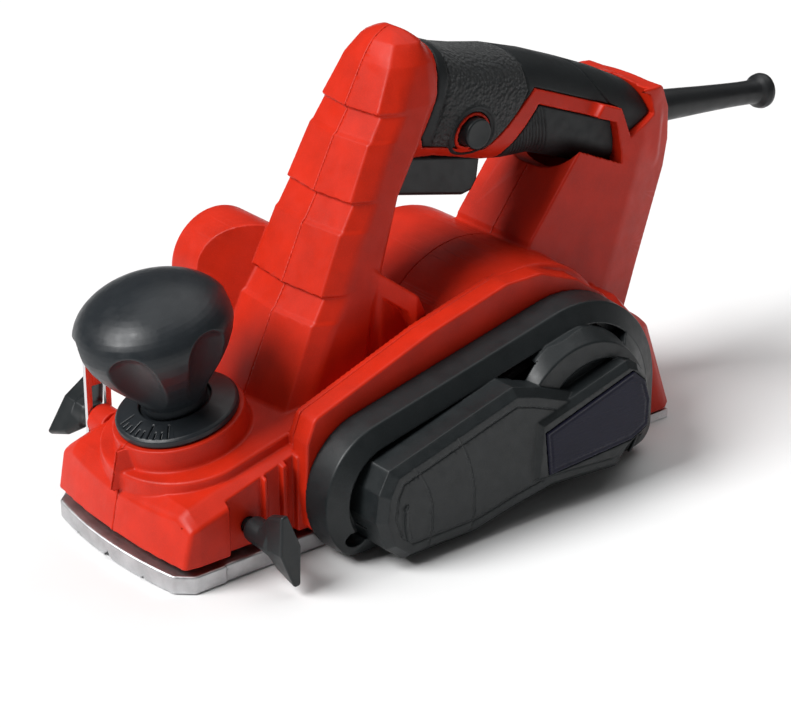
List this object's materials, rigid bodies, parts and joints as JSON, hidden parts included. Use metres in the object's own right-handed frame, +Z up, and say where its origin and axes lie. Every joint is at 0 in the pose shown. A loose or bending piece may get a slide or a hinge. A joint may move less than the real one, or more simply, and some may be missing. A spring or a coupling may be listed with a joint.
{
  "type": "electric hand planer",
  "caption": "Electric hand planer: red two-part housing with a raised handle, black depth knob, side belt cover, spinning cutter drum over an aluminium sole.",
  "frame": {"origin": "middle of the rear sole, in the sole plane", "axes": "+X towards the belt cover (operator's left), -Y the planing direction, +Z up from the sole"},
  "size_m": [0.1608, 0.3774, 0.1965],
  "materials": {
    "housing": "fine moulded texture",
    "grip": "soft, leathery texture",
    "black_plastic": "fine moulded texture",
    "badge": "smooth",
    "sole": "cast and machined",
    "drum": "turned",
    "steel": "bright",
    "dark_steel": "dark",
    "copper": "copper, varnished or turned",
    "brass": "pressed sheet",
    "carbon": "pressed carbon",
    "belt": "moulded rubber"
  },
  "bodies": {
    "machine": {"belt_cover": "black_plastic", "brush_holder_lower": "brass", "brush_holder_upper": "brass", "carbon_brush_lower": "carbon", "carbon_brush_upper": "carbon", "cord_clamp": "black_plastic", "cord_sleeve": "grip", "cover_badge": "badge", "cover_screw_1": "steel", "cover_screw_2": "steel", "depth_spring": "steel", "drive_belt": "belt", "drum_bearing_belt_side": "steel", "drum_bearing_far_side": "steel", "field_winding_brush_side": "copper", "field_winding_fan_side": "copper", "handle_grip": "grip", "housing_left": "housing", "housing_right": "housing", "housing_screw_1": "steel", "housing_screw_2": "steel", "housing_screw_3": "steel", "housing_screw_4": "steel", "housing_screw_5": "steel", "housing_screw_6": "steel", "lower_grip_pad": "grip", "motor_bearing_belt_side": "steel", "motor_bearing_brush_side": "steel", "rear_shoe": "sole", "stator_core": "dark_steel", "switch_body": "black_plastic"},
    "depth_control": {"depth_knob": "black_plastic", "scale_ring": "black_plastic", "depth_spindle": "steel"},
    "front_sole": {"front_shoe": "sole", "shoe_guide_pin_left": "steel", "shoe_guide_pin_right": "steel"},
    "trigger": {"trigger": "black_plastic"},
    "lock_off": {"lock_off_button": "black_plastic"},
    "cutter": {"cutter_drum": "drum", "planer_blade_1": "steel", "planer_blade_2": "steel", "clamp_bar_1": "dark_steel", "clamp_bar_2": "dark_steel", "drum_shaft": "steel", "drum_pulley": "drum"},
    "armature": {"motor_shaft": "steel", "armature_core": "dark_steel", "commutator": "copper", "fan": "black_plastic", "motor_pulley": "black_plastic"},
    "guide_clamp": {"guide_clamp_screw": "black_plastic"},
    "stop_clamp": {"depth_stop_screw": "black_plastic"},
    "depth_stop": {"rabbet_depth_stop": "steel"}
  },
  "joints": [
    {"name": "depth_knob_turn", "type": "hinge", "parent": "machine", "child": "depth_control", "pos_m": [0, -0.151, 0.056], "axis": [0, -0.2419, 0.9703], "range_deg": [0, 270]},
    {"name": "front_sole_lift", "type": "slide", "parent": "machine", "child": "front_sole", "axis": [0, 0, 1], "range_m": [0, 0.002], "deforming": ["depth_spring"]},
    {"name": "trigger_press", "type": "hinge", "parent": "machine", "child": "trigger", "pos_m": [0, -0.051, 0.141], "axis": [1, 0, 0], "range_deg": [0, 6], "stiffness_Nm_per_rad": 2, "springref_deg": -3.44},
    {"name": "lock_off_push", "type": "slide", "parent": "machine", "child": "lock_off", "axis": [1, 0, 0], "range_m": [-0.003, 0.003], "stiffness_N_per_m": 800},
    {"name": "cutter_spin", "type": "hinge", "parent": "machine", "child": "cutter", "pos_m": [0, -0.094, 0.024], "axis": [1, 0, 0], "continuous": true},
    {"name": "armature_spin", "type": "hinge", "parent": "machine", "child": "armature", "pos_m": [0, -0.002, 0.046], "axis": [1, 0, 0], "continuous": true},
    {"name": "guide_clamp_turn", "type": "hinge", "parent": "machine", "child": "guide_clamp", "pos_m": [0, -0.149, 0.021], "axis": [1, 0, 0], "range_deg": [0, 450]},
    {"name": "stop_clamp_turn", "type": "hinge", "parent": "machine", "child": "stop_clamp", "pos_m": [0, -0.1565, 0.034], "axis": [-1, 0, 0], "range_deg": [0, 450]},
    {"name": "depth_stop_slide", "type": "slide", "parent": "machine", "child": "depth_stop", "axis": [0, 0, 1], "range_m": [-0.008, 0.006]}
  ],
  "couplings": [
    {"joint": "front_sole_lift", "follows": "depth_knob_turn", "m_per_rad": 0.000424},
    {"joint": "cutter_spin", "follows": "armature_spin", "ratio": 1.44}
  ]
}
